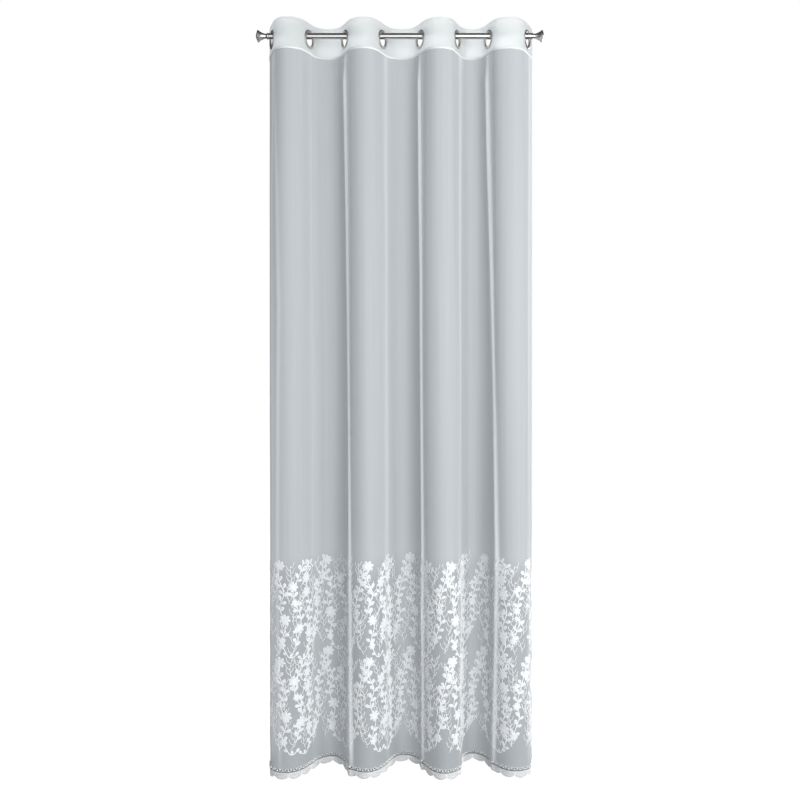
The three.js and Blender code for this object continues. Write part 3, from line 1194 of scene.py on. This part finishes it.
def grow_sprig(kind, across, foot, chance, out):
    sprig = Sprig(kind, across, foot)
    out["stems"].append(thread_over(sprig.line))
    add_leaf_pairs(sprig, chance, out)
    for name in ("flowers", "small_flowers"):
        for height in kind[name]:
            x, z, _ = sprig.at(height)
            shift = 0 if height == sprig.top else chance.uniform(-4, 4)
            out[name].append((x + shift, -0.35, z, chance.uniform(0, 1), chance.uniform(0.9, 1.05)))
    for number, height in enumerate(kind["twigs"]):
        add_side_twig(sprig, height, -1 if number % 2 else 1, chance, out)
    if kind["tip"] == "curl":
        add_curled_tip(sprig, out)
    if kind["tip"] == "leaf":
        add_leaf(out, *sprig.at(sprig.top), 1.0)
    if kind["foot"]:
        add_hooked_foot(sprig, kind["foot"], chance, out)


def grow_twig(across, foot, chance, out):
    """A fine bare twig with forks, like a small antler, in the ground between two sprigs."""
    off = -0.2
    lean = chance.uniform(-0.45, 0.45)
    length = chance.uniform(56, 78)
    trunk = []
    for share in steps(0, 1, 8):
        sway = 4 * math.sin(share * 5 + across)
        trunk.append((across + lean * length * share + sway, foot + length * share))
    out["bare_twigs"].append(thread_over(trunk, off))
    for i, (x, z) in enumerate(trunk[1:-1]):
        side = -1 if i % 2 else 1
        reach = chance.uniform(15, 27)
        bend = (x + side * reach * 0.45, z + reach * 0.3)
        end = (x + side * reach * 0.6, z + reach * 0.9)
        out["bare_twigs"].append(thread_over(smooth_line([(x, z), bend, end], 3), off))


def lay_out_embroidery():
    """Every leaf, flower, stem and twig, on the flat cloth."""
    stagger = 4
    twigs_a_sprig = 5
    twig_pitch = 56
    chance = random.Random(11)
    kinds = ("leaves", "flowers", "small_flowers", "rosettes", "stems", "bare_twigs")
    out = {name: [] for name in kinds}
    pitch = FLAT_WIDTH / SPRIGS_ACROSS
    for tier, foot in enumerate(SPRIG_FEET):
        for i in range(SPRIGS_ACROSS):
            kind = SPRIG_KINDS[i % len(SPRIG_KINDS)]
            across = (i + 0.5) * pitch + chance.uniform(-2, 2)
            grow_sprig(kind, across, foot + tier * stagger * (i % 3), chance, out)
            for level in range(twigs_a_sprig):
                twig_across = across + pitch / 2 + chance.uniform(-11, 11)
                twig_foot = foot + 4 + twig_pitch * level + chance.uniform(0, 18)
                grow_twig(twig_across, twig_foot, chance, out)
    return out


def make_embroidery():
    """Sprigs in two tiers, their leaves and flowers in satin stitch, with fine twigs between."""
    out = lay_out_embroidery()
    motifs = {
        "leaves": leaf_motif(),
        "flowers": flower_motif("flower", petals=7, length=19.5, width=10.4, button=2.8, height=1.0),
        "small_flowers": flower_motif("small_flower", petals=6, length=13.5, width=9, button=1.9, height=0.9),
        "rosettes": rosette_motif(),
    }
    pieces = []
    for kind, motif in motifs.items():
        rows = [row for row in out[kind] if SIDE_HEM < row[0] < FLAT_WIDTH - SIDE_HEM]
        pieces.append(set_out("embroidered_" + kind, point_source(rows), MOTIFS, motif, SATIN_STITCH))
    stem_sizes = {"spacing": 4.5, "thickness": 3.4, "sides": 6, "flatness": 0.5}
    twig_sizes = {"spacing": 6, "thickness": 2.2, "sides": 4, "flatness": 0.55}
    stems = lay_threads("embroidered_stems", out["stems"], STEM_STITCH, **stem_sizes)
    twigs = lay_threads("embroidered_twigs", out["bare_twigs"], STEM_STITCH, **twig_sizes)
    return pieces + [stems, twigs]


# The lace edging

def scallop_edge(x):
    """The height of the lace's lower edge at x: round scallops between cusps."""
    share = (x % SCALLOP_PITCH) / SCALLOP_PITCH
    return CURTAIN_BOTTOM + SCALLOP_DEPTH * (1 - math.sqrt(max(0, math.sin(math.pi * share))))


def make_lace_net():
    """The lace's knitted ground, from the braid down to the scalloped edge."""
    inside_edge = 0.6

    def level(share):
        return lambda x: BRAID_BOTTOM + (scallop_edge(x) + inside_edge - BRAID_BOTTOM) * share

    columns = steps(0, FLAT_WIDTH, SCALLOP_COUNT * 16)
    mesh = flat_grid(columns, [level(share) for share in (0, 0.2, 0.4, 0.6, 0.8, 1)])
    return hang_piece("lace_edging_net", thicken(mesh, front=0.45, back=0.25), LACE_NET)


def make_tape():
    """The narrow tape that joins the lace to the voile, under the plait. Its dark grey is painted shade
    between the cords.
    """
    mesh = flat_grid(steps(0, FLAT_WIDTH, 480), steps(TAPE_TOP, TAPE_BOTTOM, 4))
    return hang_piece("braid_tape", thicken(mesh, front=0.4, back=0.8), SHADE_TAPE)


def make_braid():
    """The plaited braid over the seam: two wavy cords that cross over and under each other."""
    steps_a_wave = 12
    rise = BRAID_DEPTH / 2 - 2.2
    paths = []
    for phase in (0, math.pi):
        wave = []
        for i in range(int(FLAT_WIDTH / PLAIT_PITCH * steps_a_wave) + 1):
            x = min(FLAT_WIDTH - CORD_INSET, CORD_INSET + i * PLAIT_PITCH / steps_a_wave)
            angle = math.tau * (x / PLAIT_PITCH) + phase
            off = -1.2 - 0.6 * math.cos(2 * angle + phase)
            wave.append((x, off, PLAIT_HEIGHT + rise * math.sin(angle)))
        paths.append(wave)
    return lay_threads("braid_plait", paths, LACE_CORD, spacing=1.6, thickness=1.7, sides=6)


def make_braid_knots():
    """A small white knot where the plait's cords cross, by turns a little higher and lower."""
    pitch = PLAIT_PITCH / 2
    shift, turn = 1.6, 0.5
    rows = []
    for i in range(1, int(FLAT_WIDTH / pitch)):
        side = 1 if i % 2 else -1
        rows.append((i * pitch, -2.4, PLAIT_HEIGHT + side * shift, side * turn, 1.0))
    profile = [(-2.8, 0), (-2.1, 1.8), (0, 2.5), (2.1, 1.8), (2.8, 0)]
    knot = add_piece("knot_template", spun("knot", profile, 8))
    return set_out("braid_knots", point_source(rows), MOTIFS, knot, KNOT_THREAD)


def make_braid_edges():
    """Two fine cords side by side under the tape, where the net begins."""
    columns = steps(CORD_INSET, FLAT_WIDTH - CORD_INSET, 280)
    paths = [[(x, -0.9, BRAID_BOTTOM - drop) for x in columns] for drop in (1.5, 3.9)]
    return lay_threads("braid_edge_cords", paths, LACE_CORD, spacing=5, thickness=1.2, sides=6)


def make_scallop_cords():
    """Each scallop's edge cord, its inner arc and the ribs that fan down from its top."""
    columns = steps(CORD_INSET, FLAT_WIDTH - CORD_INSET, SCALLOP_COUNT * 24)
    paths = [[(x, -0.8, scallop_edge(x) + 0.9) for x in columns]]
    arc_top = BRAID_BOTTOM - 2
    arc_depth = 12.5
    rib_top_pitch = 2.6
    rib_foot_pitch = SCALLOP_PITCH * 0.108
    for k in range(SCALLOP_COUNT):
        left = k * SCALLOP_PITCH
        centre = left + SCALLOP_PITCH / 2
        inner = []
        for share in steps(0, 1, 12):
            x = left + SCALLOP_PITCH * (0.12 + 0.76 * share)
            inner.append((x, -0.7, arc_top - arc_depth * max(0, math.sin(math.pi * share)) ** 0.7))
        paths.append(inner)
        for rib in range(-4, 5):
            top_x = centre + rib * rib_top_pitch
            low_x = centre + rib * rib_foot_pitch
            low_z = scallop_edge(low_x) + 1.5
            paths.append([(top_x, -0.6, BRAID_BOTTOM - 0.5), (low_x, -0.6, low_z)])
    return lay_threads("scallop_cords", paths, LACE_CORD, spacing=2.5, thickness=1.3, sides=5)


def make_cusp_crossings():
    """Two short thick cords that cross over each cusp between scallops."""
    off = -1.1
    paths = []
    for k in range(1, SCALLOP_COUNT):
        for side in (-1, 1):
            top = (k * SCALLOP_PITCH + side * 6, off, BRAID_BOTTOM - 2.5)
            low = (k * SCALLOP_PITCH - side * 4, off, CURTAIN_BOTTOM + SCALLOP_DEPTH + 1.5)
            paths.append([top, low])
    return lay_threads("cusp_crossings", paths, KNOT_THREAD, spacing=3, thickness=2.2, sides=6)


# The metal

def make_rod():
    """The rod, its ends a little bevelled."""
    bevel = 0.6
    half = ROD_LENGTH / 2
    radius = ROD_DIAMETER / 2
    end = [(half - 1.5, radius), (half - bevel, radius), (half, radius - bevel), (half, 0)]
    profile = [(-along, reach) for along, reach in reversed(end)]
    profile += [(along, radius) for along in steps(3 - half, half - 3, 8)]
    return add_piece("rod_tube", spun("rod", profile + end, 96), NICKEL)


def make_finial(name, side):
    """A spun trumpet with a bead at its root and a shallow dome over its mouth."""
    gap = 0.3
    knots = [(along, radius) for along, radius, _ in FINIAL_PROFILE]
    corners = [i for i, (_, _, corner) in enumerate(FINIAL_PROFILE) if corner]
    line = smooth_line(knots, 4, corners)
    profile = [(side * (ROD_LENGTH / 2 + gap + along), radius) for along, radius in line]
    return add_piece(name, spun(name, profile[::-side], 80), NICKEL)


def make_ring(name, x, depth, turn):
    """A pressed eyelet: a rolled rim on each side of the heading, joined through its hole."""
    bore = RING_INNER_DIAMETER / 2
    outer = RING_OUTER_DIAMETER / 2
    seat = HEADING_THICKNESS / 2 + 0.2
    swell = RING_RIM_HEIGHT - seat + 0.4
    half_section = []
    for angle in steps(0, math.pi, 9):
        radius = bore + (outer - bore) * (1 - math.cos(angle)) / 2
        half_section.append((seat + swell * max(0, math.sin(angle)) ** 0.8, radius))
    half_section += [(seat, outer - 0.4), (seat, bore + 1.6)]
    section = half_section + [(-off, radius) for off, radius in reversed(half_section)]
    mesh = hoop(name, section, 72)
    place = Matrix.Translation(Vector((x, depth, RING_CENTRE_Z)) * MM)
    mesh.transform(place @ Matrix.Rotation(math.radians(turn), 4, "Z"))
    return add_piece(name, mesh, DULL_NICKEL)


# Camera, light and floor

def add_camera():
    """Level, well below the rod, as far away as the photograph's perspective says."""
    focal_px, frame_px = 867.0, 800.0
    horizon_px = 354.0
    sensor = 36.0
    camera = add_object("camera", bpy.data.cameras.new("camera"))
    camera.data.sensor_width = sensor
    camera.data.lens = sensor * focal_px / frame_px
    camera.data.shift_y = (horizon_px - frame_px / 2) / frame_px
    camera.location = (0.0, -2.9, -1.063)
    camera.rotation_euler = (math.radians(90), 0, 0)
    camera.data.clip_end = 50
    bpy.context.scene.camera = camera


def add_soft_light(name, place, target, size, power, colour, metal_only=False, mirrored=True):
    """A rectangular light aimed at a target. It lights the metal only, or isn't seen in it, if told so."""
    light = add_object(name, bpy.data.lights.new(name, "AREA"))
    light.data.shape = "RECTANGLE"
    light.data.size, light.data.size_y = size
    light.data.energy = power
    light.data.color = srgb(colour)[:3]
    light.visible_camera = False
    light.visible_diffuse = not metal_only
    light.visible_transmission = not metal_only
    light.visible_glossy = mirrored
    light.location = place
    light.rotation_euler = (Vector(target) - light.location).to_track_quat("-Z", "Y").to_euler()


def add_world():
    """White behind everything that the camera sees, a dim even grey for the object's own light, and
    a darker one for what the metal mirrors."""
    world = bpy.data.worlds.new("studio")
    bpy.context.scene.world = world
    world.use_nodes = True
    tree = world.node_tree
    tree.nodes.clear()
    ray = add_node(tree, "ShaderNodeLightPath").outputs
    white, dim, dark = (
        add_node(tree, "ShaderNodeBackground", {"Color": srgb(colour), "Strength": strength})
        for colour, strength in (("#ffffff", 1.0), ("#f4f6fa", 0.5), ("#f4f6fa", 0.1))
    )
    own = add_node(tree, "ShaderNodeMixShader", {0: ray["Is Glossy Ray"], 1: dim, 2: dark})
    mixed = add_node(tree, "ShaderNodeMixShader", {0: ray["Is Camera Ray"], 1: own, 2: white})
    add_node(tree, "ShaderNodeOutputWorld", {"Surface": mixed})


def add_floor():
    """A plain white floor just below the hem, lit from below as a light table, so it has no edge."""
    half, below = 4.0, 0.045
    z = CURTAIN_BOTTOM * MM - below
    corners = [(-half, -half, z), (half, -half, z), (half, half, z), (-half, half, z)]
    mesh = make_mesh("floor", corners, [(0, 1, 2, 3)], smooth=False)
    material, tree = start_material("white_light_table", "#ffffff")
    face = add_node(
        tree,
        "ShaderNodeBsdfPrincipled",
        {
            "Base Color": srgb("#767676"),
            "Roughness": 0.9,
            "Emission Color": srgb("#ffffff"),
            "Emission Strength": 0.94,
        },
    )
    add_node(tree, "ShaderNodeOutputMaterial", {"Surface": face})
    floor = add_piece("floor", mesh, material)
    floor.visible_diffuse = False
    floor.visible_glossy = False


# Putting it together

def settle(piece, node=None):
    """Ties a piece to the one body, and lets it stand for a node of the solids."""
    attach(piece, "root")
    if node:
        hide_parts(node)
    return piece


add_camera()
add_world()
add_floor()
add_soft_light("key_right", (1.6, -3.65, -0.6), (0, 0, -1.1), (1.6, 3.4), 101, "#fffefc")
add_soft_light("side_right", (3.0, -2.0, -1.0), (0, 0, -1.1), (0.9, 3.4), 62, "#fffefc", mirrored=False)
add_soft_light("back_right", (1.9, 3.0, -0.4), (0, 0, -0.9), (1.8, 2.6), 55, "#fcfdff")
add_soft_light("back_right_top", (1.7, 2.4, 0.5), (0, 0, -0.1), (1.4, 0.7), 16, "#fcfdff")
add_soft_light("front_reflector", (0, -3.2, -1.0), (0, 0, -0.6), (3.2, 4.2), 58, "#fbfdff", metal_only=True)
bpy.context.scene.view_settings.view_transform = "Standard"

voile = settle(make_voile(), "voile")
hems = [
    settle(make_side_hem("side_hem_left", 0, SIDE_HEM)),
    settle(make_side_hem("side_hem_right", FLAT_WIDTH - SIDE_HEM, FLAT_WIDTH)),
    settle(make_lower_hem()),
]
heading = settle(make_heading(), "heading")
heading_fold = settle(make_heading_fold())
stitching = settle(make_stitching())
embroidery = [settle(piece) for piece in make_embroidery()]

net = settle(make_lace_net(), "lace_edging")
cords = [
    settle(make())
    for make in (
        make_tape,
        make_braid,
        make_braid_knots,
        make_braid_edges,
        make_scallop_cords,
        make_cusp_crossings,
    )
]

rod = settle(make_rod(), "rod")
for name, side in (("finial_left", -1), ("finial_right", 1)):
    settle(make_finial(name + "_trumpet", side), name)
for number, (x, depth, turn, _) in enumerate(EYELETS, start=1):
    ring = make_ring(f"eyelet_ring_{number}", x, depth, turn)
    settle(ring, f"eyelet_{number}")
